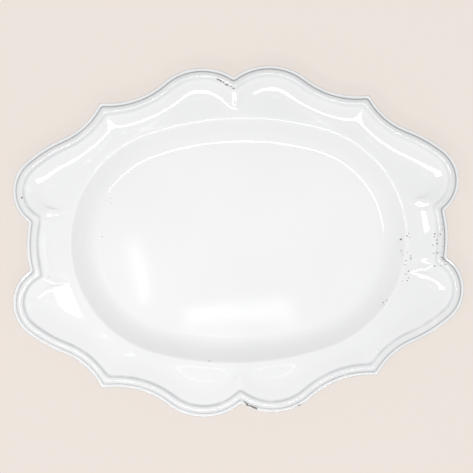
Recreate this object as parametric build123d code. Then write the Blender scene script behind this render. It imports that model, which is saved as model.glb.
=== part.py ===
from build123d import *
from dataclasses import dataclass
from math import asin, cos, degrees, hypot, pi, radians, sin, tan
import os

# A glazed earthenware serving platter with a lobed, moulded rim, in millimetres.
# The foot ring rests on z = 0, +Z is up, the long way of the platter is X, and
# x = y = 0 is the middle of the whole outline.

# ---- the whole platter, over the glaze -------------------------------------------------
LENGTH = 402.0            # over the two pairs of end lobes
WIDTH = 311.0             # over the two pairs of crown lobes
GLAZE = 0.4               # thickness of the glaze coat on every glazed face

# ---- the outline: radii of the arcs in each quarter, from the crown round to the end ---
CROWN_RADIUS = 52.6       # crown lobe, bulging out
SWAY_RADIUS = 75.5        # hollow sweep between the crown lobe and the cusp
WAIST_RADIUS = 64.4       # hollow sweep between the cusp and the flank
FLANK_RADIUS = 130.7      # long shallow bulge running into the end lobe
LOBE_RADIUS = 34.6        # end lobe, bulging out
SIDE_RADIUS = 100.8       # wide bulge between the two end lobes
FLANK_ANGLE = 51.0        # direction in which the flank meets the end lobe, degrees
SWAY_SPLIT = 20.0         # where the hollow sweep is halved, from the cusp along its chord
SIDE_SETBACK_RIGHT = 12.7 # how far the wide end bulge stands back from the end lobes
SIDE_SETBACK_LEFT = 14.0


@dataclass
class Quarter:
    """Where one hand-cut quarter of the outline has its lobes and its cusp.

    The four quarters differ by a few millimetres, as the mould did.
    """

    right: int            # +1 for the right half of the platter, -1 for the left
    back: int             # +1 for the back half, -1 for the front
    crown_x: float        # crown lobe's centre, across from the middle
    crown_short: float    # how far the crown lobe stops short of the full width
    cusp_from_end: float  # cusp, in from the full length
    cusp_from_side: float # cusp, in from the full width
    lobe_short: float     # how far the end lobe stops short of the full length
    lobe_y: float         # end lobe's centre, across from the middle


BACK_RIGHT = Quarter(+1, +1, 32.3, 0.0, 78.4, 29.2, 1.1, 48.8)
BACK_LEFT = Quarter(-1, +1, 27.3, 0.3, 83.2, 28.2, 3.1, 50.0)
FRONT_LEFT = Quarter(-1, -1, 32.5, 0.0, 76.8, 28.5, 0.0, 49.2)
FRONT_RIGHT = Quarter(+1, -1, 28.2, 2.0, 79.8, 31.7, 0.0, 48.2)

# ---- the well: an oval of two end arcs and two side arcs -------------------------------
WELL_FROM_END = 51.1      # shoulder of the well, in from the full length
WELL_FROM_SIDE = 46.4     # shoulder of the well, in from the full width
WELL_CORNER_BEARING = 73.1 # direction in which an end arc runs into a side arc, degrees
WELL_SHIFT = 1.6          # the well sits this far right of the middle
# Directions round the well in which the flange runs out to the rim's own corners: the
# side's middle, the end notch, both ends of the flank, the cusp, and then, across the
# well's corner, the crown lobe's start and the crown's notch.
END_BEARINGS = (0.0, 17.0, 25.6, 38.0, 59.3)
SIDE_BEARINGS = (79.8, 90.0)

# ---- heights of the bare clay ----------------------------------------------------------
FOOT_HEIGHT = 6.0         # foot ring, from the table to the slab
FLOOR_THICKNESS = 5.3     # slab under the well
WELL_DEPTH = 16.3         # from the shoulder down to the floor
FLANGE_RISE = 2.4         # from the shoulder out to the foot of the cove
COVE_RISE = 3.8           # from the foot of the cove to the crease under the bead
BEAD_HEIGHT = 3.6         # crest of the bead above the groove
GROOVE_DEPTH = 0.6        # groove below the lip's flat top
LIP_DROP = 0.9            # from the crease down to the lip's flat top
LIP_THICKNESS = 1.8       # at the very edge

# ---- widths across the rim, in from the outline ----------------------------------------
LIP_WIDTH = 3.6           # flat of the lip, out to where the bead rises
BEAD_WIDTH = 6.2
COVE_WIDTH = 9.4
LIP_ROUND = 0.7           # radius on the lip's top arris
COVE_EASE = 2.2           # how quickly the cove flattens out
BACK_EASE = 1.1           # the same on the underside

# ---- the clay's thickness and the curves of the wall -----------------------------------
FLANGE_THICKNESS = 4.8
RIM_THICKNESS = 3.0       # under the groove
WALL_THICKNESS = 5.2      # measured square to the wall at the shoulder
ROOT_THINNING = 0.2       # the flange is this much thinner where the wall's fillet starts
FLANGE_SLOPE = 5.0        # degrees
WALL_SLOPE = 52.0         # degrees, at its steepest
SHOULDER_RADIUS = 4.0
BACK_FILLET_RADIUS = 5.0
WALL_RUN = 19.1           # from the steepest place to the flat of the floor
BACK_RUN = 17.5           # the same on the underside
FLANGE_RUN = 25.0         # typical width of the flat of the flange

# ---- the foot ring, in from the shoulder of the well -----------------------------------
FOOT_GAP = 1.0            # from the end of the wall's back to the ring
FOOT_WIDTH = 7.5          # where the ring joins the slab
FOOT_TAPER = 0.9          # each side draws in by this much at the table
FOOT_ROUND = 1.0          # radius on the resting edges
BARE_FOOT = 1.2           # height of the ring's wiped, unglazed edge

# ---- stations along each curve of the section ------------------------------------------
BEAD_STEPS = 7
CURVE_STEPS = 5
ARRIS_STEPS = 3

FLOOR_Z = FOOT_HEIGHT + FLOOR_THICKNESS
SHOULDER_Z = FLOOR_Z + WELL_DEPTH
COVE_FOOT_Z = SHOULDER_Z + FLANGE_RISE
CREASE_Z = COVE_FOOT_Z + COVE_RISE
LIP_Z = CREASE_Z - LIP_DROP
GROOVE_Z = LIP_Z - GROOVE_DEPTH
COVE_END = LIP_WIDTH + BEAD_WIDTH + COVE_WIDTH


# ---- plane geometry --------------------------------------------------------------------
@dataclass
class Arc:
    """One arc of the outline: its centre, its radius and whether it bulges out."""

    centre: tuple
    radius: float
    bulges: bool = True

    def at(self, inset):
        """Radius of the same arc, moved in from the outline by the inset."""
        return self.radius - inset if self.bulges else self.radius + inset


def toward(start, end):
    """Unit vector from one point to another."""
    length = hypot(end[0] - start[0], end[1] - start[1])
    return ((end[0] - start[0]) / length, (end[1] - start[1]) / length)


def along(start, direction, distance):
    """Point at a distance from a start along a direction."""
    return (start[0] + direction[0] * distance, start[1] + direction[1] * distance)


def crossing(first, second, inset, side):
    """Where two arcs cross at an inset; of the two places, the one furthest to a side."""
    return circles_cross(first.centre, first.at(inset), second.centre, second.at(inset), side)


def circles_cross(centre_1, radius_1, centre_2, radius_2, side):
    """Crossing of two circles that lies furthest in the direction given by side."""
    axis = toward(centre_1, centre_2)
    apart = hypot(centre_2[0] - centre_1[0], centre_2[1] - centre_1[1])
    reach = (radius_1**2 - radius_2**2 + apart**2) / (2 * apart)
    half_chord = (radius_1**2 - reach**2) ** 0.5
    foot = along(centre_1, axis, reach)
    normal = (-axis[1], axis[0])
    places = [along(foot, normal, half_chord), along(foot, normal, -half_chord)]
    return max(places, key=lambda place: place[0] * side[0] + place[1] * side[1])


# ---- the outline's quarters ------------------------------------------------------------
class QuarterOutline:
    """The seven arcs of one quarter, worked out as if it were the back right one."""

    def __init__(self, quarter, setback):
        self.quarter = quarter
        self.crown = Arc((quarter.crown_x, WIDTH / 2 - quarter.crown_short - CROWN_RADIUS), CROWN_RADIUS)
        cusp = (LENGTH / 2 - quarter.cusp_from_end, WIDTH / 2 - quarter.cusp_from_side)
        self.lobe = Arc((LENGTH / 2 - quarter.lobe_short - LOBE_RADIUS, quarter.lobe_y), LOBE_RADIUS)
        self.side = Arc((LENGTH / 2 - setback - SIDE_RADIUS, 0.0), SIDE_RADIUS)
        sway = circles_cross(self.crown.centre, CROWN_RADIUS + SWAY_RADIUS, cusp, SWAY_RADIUS, (0, 1))
        self.sway = Arc(sway, SWAY_RADIUS, bulges=False)
        lean = (cos(radians(FLANK_ANGLE)), sin(radians(FLANK_ANGLE)))
        self.flank = Arc(along(self.lobe.centre, lean, LOBE_RADIUS - FLANK_RADIUS), FLANK_RADIUS)
        waist = circles_cross(self.flank.centre, FLANK_RADIUS + WAIST_RADIUS, cusp, WAIST_RADIUS, (1, 1))
        self.waist = Arc(waist, WAIST_RADIUS, bulges=False)
        chord = toward(cusp, self.joint(self.crown, self.sway, 0))
        self.middle_of_sway = toward(sway, along(cusp, chord, SWAY_SPLIT))

    def joint(self, bulge, hollow, inset):
        """Where a bulging arc runs smoothly into a hollow one."""
        return along(bulge.centre, toward(bulge.centre, hollow.centre), bulge.at(inset))

    def corners(self, inset, neighbour):
        """The quarter's corners and joints from the side round to the crown's notch."""
        next_crown = Arc((-neighbour.crown.centre[0], neighbour.crown.centre[1]), CROWN_RADIUS)
        return [
            along(self.side.centre, (1, 0), self.side.at(inset)),
            crossing(self.lobe, self.side, inset, (0, -1)),
            along(self.lobe.centre, toward(self.flank.centre, self.lobe.centre), self.lobe.at(inset)),
            self.joint(self.flank, self.waist, inset),
            crossing(self.sway, self.waist, inset, (-1, -1)),
            along(self.sway.centre, self.middle_of_sway, self.sway.at(inset)),
            self.joint(self.crown, self.sway, inset),
            crossing(self.crown, next_crown, inset, (0, 1)),
        ]

    def arcs(self):
        """The arcs between the corners, in the same order."""
        return [self.side, self.lobe, self.flank, self.waist, self.sway, self.sway, self.crown]


OUTLINES = [
    QuarterOutline(BACK_RIGHT, SIDE_SETBACK_RIGHT),
    QuarterOutline(BACK_LEFT, SIDE_SETBACK_LEFT),
    QuarterOutline(FRONT_LEFT, SIDE_SETBACK_LEFT),
    QuarterOutline(FRONT_RIGHT, SIDE_SETBACK_RIGHT),
]


# ---- the well's oval -------------------------------------------------------------------
HALF_LENGTH = LENGTH / 2 - WELL_FROM_END
HALF_WIDTH = WIDTH / 2 - WELL_FROM_SIDE
CORNER = radians(WELL_CORNER_BEARING)
END_CENTRE = (HALF_LENGTH - HALF_WIDTH) / (1 + tan(CORNER) - 1 / cos(CORNER))
OVAL_END = Arc((END_CENTRE, 0.0), HALF_LENGTH - END_CENTRE)
OVAL_SIDE = Arc((0.0, -END_CENTRE * tan(CORNER)), HALF_WIDTH + END_CENTRE * tan(CORNER))


def oval_corners(inset):
    """Points round a quarter of the oval, where the flange meets it from the rim's corners."""
    ends = [(OVAL_END, bearing) for bearing in END_BEARINGS + (WELL_CORNER_BEARING,)]
    sides = [(OVAL_SIDE, bearing) for bearing in SIDE_BEARINGS]
    return [
        along(arc.centre, (cos(radians(bearing)), sin(radians(bearing))), arc.at(inset))
        for arc, bearing in ends + sides
    ]


# ---- rings: closed wires that follow the rim or the well at one height -----------------
@dataclass
class Station:
    """A place on the platter's section: which ring it follows, its inset and its height."""

    ring: str
    inset: float
    height: float

    def wire(self):
        """The closed wire round the platter at this place."""
        edges = []
        for index, outline in enumerate(OUTLINES):
            neighbour = OUTLINES[index + 1 - 2 * (index % 2)]
            points, arcs = self.quarter_points(outline, neighbour)
            placed = [self.place(outline.quarter, *point) for point in points]
            quarter = [
                self.edge(outline.quarter, arc, start, end, placed[i], placed[i + 1])
                for i, (arc, start, end) in enumerate(zip(arcs, points, points[1:]))
            ]
            edges += quarter if outline.quarter.right == outline.quarter.back else quarter[::-1]
        return Wire(edges)

    def quarter_points(self, outline, neighbour):
        """Corner points of one quarter, and the arcs that join them."""
        if self.ring == "rim":
            return outline.corners(self.inset, neighbour), outline.arcs()
        return oval_corners(self.inset), [OVAL_END] * len(END_BEARINGS) + [OVAL_SIDE] * len(SIDE_BEARINGS)

    def place(self, quarter, x, y):
        """A quarter's point, put in its own corner of the platter."""
        shift = WELL_SHIFT if self.ring == "well" else 0.0
        return (quarter.right * x + shift, quarter.back * y, self.height)

    def edge(self, quarter, arc, start, end, placed_start, placed_end):
        """The arc between two placed points."""
        middle = ((start[0] + end[0]) / 2, (start[1] + end[1]) / 2)
        bulge = along(arc.centre, toward(arc.centre, middle), arc.at(self.inset))
        bulge = self.place(quarter, *bulge)
        return Edge.make_three_point_arc(placed_start, bulge, placed_end)


def rim(inset, height):
    """Station on a ring parallel to the outline."""
    return Station("rim", inset, height)


def well(inset, height):
    """Station on a ring parallel to the well's shoulder."""
    return Station("well", inset, height)


@dataclass
class Band:
    """A strip of surface through two or more stations."""

    stations: list
    smooth: bool = True

    def faces(self):
        """The strip's faces, one for each arc of its rings."""
        wires = [station.wire() for station in self.stations]
        return Shell.make_loft(wires, ruled=not self.smooth).faces()


def strip(first, second):
    """A straight strip between two stations."""
    return Band([first, second], smooth=False)


# ---- the section, from the floor out over the rim and back under to the foot -----------
def eased(make, start, end, ease):
    """Curve that leaves the start steeply and arrives level at the end."""
    stations = []
    for step in range(CURVE_STEPS + 1):
        share = step / CURVE_STEPS
        inset = start[0] + (end[0] - start[0]) * share
        height = end[1] + (start[1] - end[1]) * (1 - share) ** ease
        stations.append(make(inset, height))
    return stations


def bend(inset, height, radius):
    """Round bend from the flange's slope to the wall's, starting at a place."""
    stations = []
    for step in range(CURVE_STEPS + 1):
        slope = radians(FLANGE_SLOPE + (WALL_SLOPE - FLANGE_SLOPE) * step / CURVE_STEPS)
        run = radius * (sin(slope) - sin(radians(FLANGE_SLOPE)))
        drop = radius * (cos(radians(FLANGE_SLOPE)) - cos(slope))
        stations.append(well(inset + run, height - drop))
    return stations


def wall_ease(run, drop):
    """Power that makes an eased curve leave at the wall's slope."""
    return tan(radians(WALL_SLOPE)) * run / drop


def bead_profile():
    """Half-round bead from the groove to the crease."""
    middle = LIP_WIDTH + BEAD_WIDTH / 2
    last = asin((CREASE_Z - GROOVE_Z) / BEAD_HEIGHT)
    stations = []
    for step in range(BEAD_STEPS + 1):
        angle = pi + (last - pi) * step / BEAD_STEPS
        stations.append(rim(middle + BEAD_WIDTH / 2 * cos(angle), GROOVE_Z + BEAD_HEIGHT * sin(angle)))
    return stations


def lip_arris():
    """Quarter round on the lip's top edge."""
    stations = []
    for step in range(ARRIS_STEPS + 1):
        angle = radians(90 * step / ARRIS_STEPS)
        stations.append(rim(GLAZE + LIP_ROUND * (1 - cos(angle)), LIP_Z - LIP_ROUND * (1 - sin(angle))))
    return stations


def top_bands():
    """Bare clay's upper surface, from the floor of the well out to the lip's lower edge."""
    shoulder_start = -SHOULDER_RADIUS * (sin(radians(WALL_SLOPE)) - sin(radians(FLANGE_SLOPE))) / 2
    shoulder = bend(shoulder_start, SHOULDER_Z, SHOULDER_RADIUS)
    wall_top = (shoulder[-1].inset, shoulder[-1].height)
    ease = wall_ease(WALL_RUN, wall_top[1] - FLOOR_Z)
    wall = eased(well, wall_top, (wall_top[0] + WALL_RUN, FLOOR_Z), ease)
    bead = bead_profile()
    crease = (bead[-1].inset, bead[-1].height)
    cove = eased(rim, crease, (COVE_END, COVE_FOOT_Z), COVE_EASE)
    arris = lip_arris()
    inward = [
        strip(rim(GLAZE, LIP_Z - LIP_THICKNESS), arris[0]),
        Band(arris),
        strip(arris[-1], bead[0]),
        Band(bead),
        Band(cove),
        strip(cove[-1], shoulder[0]),
        Band(shoulder),
        Band(wall),
    ]
    return [Band(band.stations[::-1], band.smooth) for band in reversed(inward)]


def back_bands():
    """Bare clay's underside, from the lip's lower edge in to the flat under the floor."""
    seam = rim(GLAZE, LIP_Z - LIP_THICKNESS)
    under_groove = (LIP_WIDTH, GROOVE_Z - RIM_THICKNESS)
    rim_back = eased(rim, under_groove, (COVE_END, COVE_FOOT_Z - FLANGE_THICKNESS), BACK_EASE)
    reach = -WALL_THICKNESS * sin(radians((WALL_SLOPE + FLANGE_SLOPE) / 2))
    start = reach - BACK_FILLET_RADIUS * (sin(radians(WALL_SLOPE)) - sin(radians(FLANGE_SLOPE))) / 2
    fillet = bend(start, SHOULDER_Z - FLANGE_THICKNESS + ROOT_THINNING, BACK_FILLET_RADIUS)
    wall_top = (fillet[-1].inset, fillet[-1].height)
    ease = wall_ease(BACK_RUN, wall_top[1] - FOOT_HEIGHT)
    wall = eased(well, wall_top, (wall_top[0] + BACK_RUN, FOOT_HEIGHT), ease)
    return [
        strip(seam, rim_back[0]),
        Band(rim_back),
        strip(rim_back[-1], fillet[0]),
        Band(fillet),
        Band(wall),
    ]


TOP = top_bands()
BACK = back_bands()
BACK_END = BACK[-1].stations[-1].inset
FOOT_OUTER = BACK_END + FOOT_GAP
FOOT_INNER = FOOT_OUTER + FOOT_WIDTH


def side_taper(height):
    """How far the foot ring's side has drawn in at a height."""
    return FOOT_TAPER * (FOOT_HEIGHT - height) / FOOT_HEIGHT


def foot_outer_side():
    """Outer side of the foot ring, from the slab down to the wiped edge."""
    return strip(well(FOOT_OUTER, FOOT_HEIGHT), well(FOOT_OUTER + side_taper(BARE_FOOT), BARE_FOOT))


def foot_inner_side():
    """Inner side of the foot ring, from the wiped edge up to the slab."""
    return strip(well(FOOT_INNER - side_taper(BARE_FOOT), BARE_FOOT), well(FOOT_INNER, FOOT_HEIGHT))


def foot_edge(outer):
    """Rounded resting edge, from the wiped edge down to the table."""
    side = FOOT_OUTER if outer else FOOT_INNER
    inward = 1 if outer else -1
    stations = []
    for step in range(ARRIS_STEPS + 1):
        angle = radians(90 * step / ARRIS_STEPS)
        round_in = FOOT_ROUND * (1 - cos(angle))
        height = FOOT_ROUND * (1 - sin(angle))
        stations.append(well(side + inward * (side_taper(FOOT_ROUND) + round_in), height))
    return Band(stations)


# ---- solids from bands -----------------------------------------------------------------
def offset_bands(bands, distance):
    """The same bands moved out from the clay, square to the section."""
    line = bands[0].stations[:1]
    for band in bands:
        line += band.stations[1:]
    moved = [moved_station(line, index, distance) for index in range(len(line))]
    result = []
    start = 0
    for band in bands:
        end = start + len(band.stations) - 1
        result.append(Band(moved[start:end + 1], band.smooth))
        start = end
    return result


def step_between(first, second):
    """Unit direction of travel between two stations of the section."""
    run = second.inset - first.inset
    if first.ring != second.ring:
        run = FLANGE_RUN if second.ring == "well" else -FLANGE_RUN
    rise = second.height - first.height
    length = hypot(run, rise)
    return (run / length, rise / length)


def moved_station(line, index, distance):
    """One station of the section, moved out square to its neighbours."""
    here = line[index]
    before = step_between(line[max(index - 1, 0)], line[max(index, 1)])
    after = step_between(line[min(index, len(line) - 2)], line[min(index + 1, len(line) - 1)])
    normals = [(before[1], -before[0]), (after[1], -after[0])]
    share = 1 + normals[0][0] * normals[1][0] + normals[0][1] * normals[1][1]
    out = ((normals[0][0] + normals[1][0]) / share, (normals[0][1] + normals[1][1]) / share)
    return Station(here.ring, here.inset + out[0] * distance, here.height + out[1] * distance)


def closed_solid(faces):
    """Solid inside a closed set of faces, with its faces looking out."""
    solid = Solid(Shell(faces))
    return solid if solid.volume > 0 else -solid


def band_faces(bands):
    """Faces of several bands."""
    return [face for band in bands for face in band.faces()]


def clay_body():
    """Pressed slab: floor, wall, flange and moulded rim in one piece of clay."""
    faces = band_faces(TOP + BACK)
    faces.append(Face(TOP[0].stations[0].wire()))
    faces.append(Face(BACK[-1].stations[-1].wire()))
    return closed_solid(faces)


def flat_ring(outer, inner):
    """Flat face between two stations at the same height."""
    return Face(outer.wire(), [inner.wire()])


def foot_ring():
    """Oval strip of clay luted under the floor, flat where it rests and where it is luted."""
    outer_edge = foot_edge(outer=True)
    inner_edge = foot_edge(outer=False)
    bands = [
        foot_outer_side(),
        strip(foot_outer_side().stations[-1], outer_edge.stations[0]),
        outer_edge,
        inner_edge,
        strip(inner_edge.stations[0], foot_inner_side().stations[0]),
        foot_inner_side(),
    ]
    resting_face = flat_ring(outer_edge.stations[-1], inner_edge.stations[-1])
    luted_face = flat_ring(well(FOOT_OUTER, FOOT_HEIGHT), well(FOOT_INNER, FOOT_HEIGHT))
    return closed_solid(band_faces(bands) + [resting_face, luted_face])


def coat(bands, outer_bands, cap_start=False, cap_end=False):
    """Glaze between the clay and the offset surface, closed by caps or by end strips."""
    faces = band_faces(bands + outer_bands)
    ends = [
        (bands[0].stations[0], outer_bands[0].stations[0], cap_start),
        (bands[-1].stations[-1], outer_bands[-1].stations[-1], cap_end),
    ]
    for inner, outer, capped in ends:
        if capped:
            faces += [Face(inner.wire()), Face(outer.wire())]
        else:
            faces += strip(inner, outer).faces()
    return closed_solid(faces)


def glaze_over_slab():
    """Glaze in two pours: the front to the lip's lower edge, and the back to the foot."""
    under_floor = strip(BACK[-1].stations[-1], well(FOOT_OUTER, FOOT_HEIGHT))
    back = BACK + [under_floor, foot_outer_side()]
    outer = offset_bands(TOP + back, GLAZE)
    front_outer = outer[:len(TOP)]
    back_outer = outer[len(TOP):]
    return coat(TOP, front_outer, cap_start=True), coat(back, back_outer)


def glaze_foot_well():
    """Glaze inside the foot ring, over the underside of the floor."""
    flat = strip(well(FOOT_INNER, FOOT_HEIGHT), well(FOOT_INNER + FOOT_WIDTH, FOOT_HEIGHT))
    bands = [foot_inner_side(), flat]
    return coat(bands, offset_bands(bands, GLAZE), cap_end=True)


glaze_front, glaze_back = glaze_over_slab()
NODES = {
    "clay_body": clay_body(),
    "foot_ring": foot_ring(),
    "glaze_front": glaze_front,
    "glaze_back": glaze_back,
    "glaze_foot_well": glaze_foot_well(),
}

os.makedirs("parts", exist_ok=True)
for name, solid in NODES.items():
    export_step(solid, f"parts/{name}.step")
    print(name, round(solid.volume), "mm3", len(solid.faces()), "faces", "valid" if solid.is_valid else "BAD")
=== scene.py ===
"""Serving platter with a lobed, beaded rim: white glaze over dark clay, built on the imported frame."""

import logging
import math
import random
from dataclasses import dataclass, field

import bmesh
import bpy
import numpy as np
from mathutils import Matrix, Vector, noise


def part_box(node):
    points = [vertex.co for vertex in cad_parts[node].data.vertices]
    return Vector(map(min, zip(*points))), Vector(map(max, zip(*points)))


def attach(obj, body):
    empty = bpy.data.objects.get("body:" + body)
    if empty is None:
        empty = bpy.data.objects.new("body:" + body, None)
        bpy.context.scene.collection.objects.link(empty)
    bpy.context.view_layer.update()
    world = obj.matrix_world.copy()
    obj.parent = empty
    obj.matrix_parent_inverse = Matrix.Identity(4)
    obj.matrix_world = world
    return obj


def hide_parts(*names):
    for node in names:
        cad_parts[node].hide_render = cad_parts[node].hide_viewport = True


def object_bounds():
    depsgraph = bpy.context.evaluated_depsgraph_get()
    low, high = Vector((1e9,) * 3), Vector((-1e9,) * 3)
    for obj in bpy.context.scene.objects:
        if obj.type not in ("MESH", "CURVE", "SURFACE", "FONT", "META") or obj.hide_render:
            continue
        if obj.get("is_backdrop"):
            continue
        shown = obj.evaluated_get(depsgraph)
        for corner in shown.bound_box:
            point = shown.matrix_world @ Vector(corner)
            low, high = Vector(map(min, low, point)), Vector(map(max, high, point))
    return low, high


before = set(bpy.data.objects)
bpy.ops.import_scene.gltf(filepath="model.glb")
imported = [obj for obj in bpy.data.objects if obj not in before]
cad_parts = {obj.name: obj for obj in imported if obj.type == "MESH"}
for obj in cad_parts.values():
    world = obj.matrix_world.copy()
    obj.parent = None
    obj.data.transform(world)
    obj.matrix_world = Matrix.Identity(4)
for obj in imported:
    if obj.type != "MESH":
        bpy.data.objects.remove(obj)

MM = 0.001
BODY = "root"
FINE_STEP = 0.05  # spacing of a section line before its stations are picked, mm
FLANGE_SPAN = 25.0  # how much rim_inset grows across the flange
WELL_MARK = 50.0  # rim_inset at the well's shoulder, so that the well is told from the rim
FAR_OFF = -9.0  # closeness of a point that is near no flaw
log = logging.getLogger("platter")

Point = tuple[float, float]
Line = list[Point]


# ---------------------------------------------------------------- outline and well, in mm
@dataclass(frozen=True)
class Arc:
    """One arc of the outline.

    Args:
        centre: The arc's centre.
        radius: Its radius at the outline.
        bulges: True where the arc bulges out, False where it is hollow.
    """

    centre: Point
    radius: float
    bulges: bool = True

    def at(self, inset: float) -> float:
        """Radius of the same arc moved in from the outline by the inset."""
        return self.radius - inset if self.bulges else self.radius + inset


@dataclass(frozen=True)
class Quarter:
    """Where one hand-cut quarter of the outline has its lobes and its cusp, in mm."""

    right: int
    back: int
    crown_x: float
    crown_short: float
    cusp_from_end: float
    cusp_from_side: float
    lobe_short: float
    lobe_y: float
    side_setback: float


def toward(start: Point, end: Point) -> Point:
    """Unit vector from one point to another."""
    length = math.hypot(end[0] - start[0], end[1] - start[1])
    return ((end[0] - start[0]) / length, (end[1] - start[1]) / length)


def along(start: Point, way: Point, distance: float) -> Point:
    """Point at a distance from a start along a direction."""
    return (start[0] + way[0] * distance, start[1] + way[1] * distance)


def circles_cross(first: Point, radius: float, second: Point, other: float, side: Point) -> Point:
    """Find where two circles cross.

    Args:
        first: Centre of the first circle.
        radius: Its radius.
        second: Centre of the second circle.
        other: Its radius.
        side: Direction that tells the two crossings apart.

    Returns:
        The crossing that lies furthest in the given direction.
    """
    axis = toward(first, second)
    apart = math.hypot(second[0] - first[0], second[1] - first[1])
    reach = (radius**2 - other**2 + apart**2) / (2 * apart)
    half_chord = math.sqrt(radius**2 - reach**2)
    foot = along(first, axis, reach)
    normal = (-axis[1], axis[0])
    places = [along(foot, normal, half_chord), along(foot, normal, -half_chord)]
    return max(places, key=lambda place: place[0] * side[0] + place[1] * side[1])


@dataclass
class Outline:
    """The lobed outline and the oval well, given as rings of points that match one to one.

    Args:
        length: Over the end lobes, from the frame.
        width: Over the crown lobes, from the frame.
    """

    length: float
    width: float
    crown_radius: float = 52.6
    sway_radius: float = 75.5
    waist_radius: float = 64.4
    flank_radius: float = 130.7
    lobe_radius: float = 34.6
    side_radius: float = 100.8
    flank_angle: float = 51.0
    well_from_end: float = 51.1
    well_from_side: float = 46.4
    well_corner: float = 73.1
    well_shift: float = 1.6
    end_bearings: tuple[float, ...] = (0.0, 17.0, 25.6, 38.0, 59.3)
    side_bearings: tuple[float, ...] = (79.8, 90.0)
    point_spacing: float = 1.35
    quarters: tuple[Quarter, ...] = (
        Quarter(+1, +1, 32.3, 0.0, 78.4, 29.2, 1.1, 48.8, 12.7),
        Quarter(-1, +1, 27.3, 0.3, 83.2, 28.2, 3.1, 50.0, 14.0),
        Quarter(-1, -1, 32.5, 0.0, 76.8, 28.5, 0.0, 49.2, 14.0),
        Quarter(+1, -1, 28.2, 2.0, 79.8, 31.7, 0.0, 48.2, 12.7),
    )

    def __post_init__(self) -> None:
        """Work out every quarter's arcs and how many points each arc gets."""
        self.arcs = [self._arcs(quarter) for quarter in self.quarters]
        corners = self._rim_corners(0, 0.0)
        self.counts = []
        for arc, start, end in zip(self._spans(0), corners, corners[1:]):
            sweep = abs(self._sweep(arc, start, end)[1])
            self.counts.append(max(4, round(sweep * arc.radius / self.point_spacing)))
        self.points_round = 4 * sum(self.counts)

    def _arcs(self, quarter: Quarter) -> dict[str, Arc]:
        """Place one quarter's six arcs, worked out as if it were the back right one.

        Args:
            quarter: The quarter's own measures.

        Returns:
            The arcs by name.
        """
        half_length, half_width = self.length / 2, self.width / 2
        crown = (quarter.crown_x, half_width - quarter.crown_short - self.crown_radius)
        cusp = (half_length - quarter.cusp_from_end, half_width - quarter.cusp_from_side)
        lobe = (half_length - quarter.lobe_short - self.lobe_radius, quarter.lobe_y)
        lean = (math.cos(math.radians(self.flank_angle)), math.sin(math.radians(self.flank_angle)))
        flank = along(lobe, lean, self.lobe_radius - self.flank_radius)
        sway = circles_cross(crown, self.crown_radius + self.sway_radius, cusp, self.sway_radius, (0, 1))
        waist = circles_cross(flank, self.flank_radius + self.waist_radius, cusp, self.waist_radius, (1, 1))
        return {
            "crown": Arc(crown, self.crown_radius),
            "sway": Arc(sway, self.sway_radius, False),
            "waist": Arc(waist, self.waist_radius, False),
            "flank": Arc(flank, self.flank_radius),
            "lobe": Arc(lobe, self.lobe_radius),
            "side": Arc((half_length - quarter.side_setback - self.side_radius, 0.0), self.side_radius),
        }

    def _spans(self, index: int) -> list[Arc]:
        """The seven arcs between a quarter's corners, from the side round to the crown."""
        names = ("side", "lobe", "flank", "waist", "sway", "sway", "crown")
        return [self.arcs[index][name] for name in names]

    def _rim_corners(self, index: int, inset: float) -> Line:
        """Find a quarter's corners and joints on the ring at an inset.

        Args:
            index: The quarter's place in the list.
            inset: Distance in from the outline.

        Returns:
            Eight points, from the middle of the side round to the crown's notch.
        """
        arcs = self.arcs[index]
        facing = self.arcs[index + 1 - 2 * (index % 2)]["crown"]
        crown, sway, waist, flank, lobe, side = (
            arcs[name] for name in ("crown", "sway", "waist", "flank", "lobe", "side")
        )
        mirrored = (-facing.centre[0], facing.centre[1])
        start = along(crown.centre, toward(crown.centre, sway.centre), crown.radius)
        cusp = circles_cross(sway.centre, sway.radius, waist.centre, waist.radius, (-1, -1))
        middle = toward(sway.centre, ((start[0] + cusp[0]) / 2, (start[1] + cusp[1]) / 2))
        return [
            along(side.centre, (1, 0), side.at(inset)),
            circles_cross(lobe.centre, lobe.at(inset), side.centre, side.at(inset), (0, -1)),
            along(lobe.centre, toward(flank.centre, lobe.centre), lobe.at(inset)),
            along(flank.centre, toward(flank.centre, waist.centre), flank.at(inset)),
            circles_cross(sway.centre, sway.at(inset), waist.centre, waist.at(inset), (-1, -1)),
            along(sway.centre, middle, sway.at(inset)),
            along(crown.centre, toward(crown.centre, sway.centre), crown.at(inset)),
            circles_cross(crown.centre, crown.at(inset), mirrored, crown.at(inset), (0, 1)),
        ]

    def lobe_crease(self, index: int, inset: float) -> tuple[Point, float, float]:
        """Circle of an end lobe's crease.

        Args:
            index: The quarter's place in the list.
            inset: The crease's distance in from the outline.

        Returns:
            Its centre, its radius and the direction of its notch in degrees, as if in the
            back right quarter.
        """
        lobe = self.arcs[index]["lobe"]
        notch = self._rim_corners(index, inset)[1]
        heading = math.degrees(math.atan2(notch[1] - lobe.centre[1], notch[0] - lobe.centre[0]))
        return lobe.centre, lobe.at(inset), heading

    @staticmethod
    def _sweep(arc: Arc, start: Point, end: Point) -> Point:
        """First angle and signed sweep of an arc between two of its points."""
        first = math.atan2(start[1] - arc.centre[1], start[0] - arc.centre[0])
        last = math.atan2(end[1] - arc.centre[1], end[0] - arc.centre[0])
        return first, (last - first + math.pi) % (2 * math.pi) - math.pi

    def _join(self, index: int, quarter_points: list[np.ndarray]) -> np.ndarray:
        """Mirror a quarter's points into place, in order round the platter."""
        quarter = self.quarters[index]
        points = np.concatenate(quarter_points) * (quarter.right, quarter.back)
        return points[:-1] if quarter.right == quarter.back else points[::-1][:-1]

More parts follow.
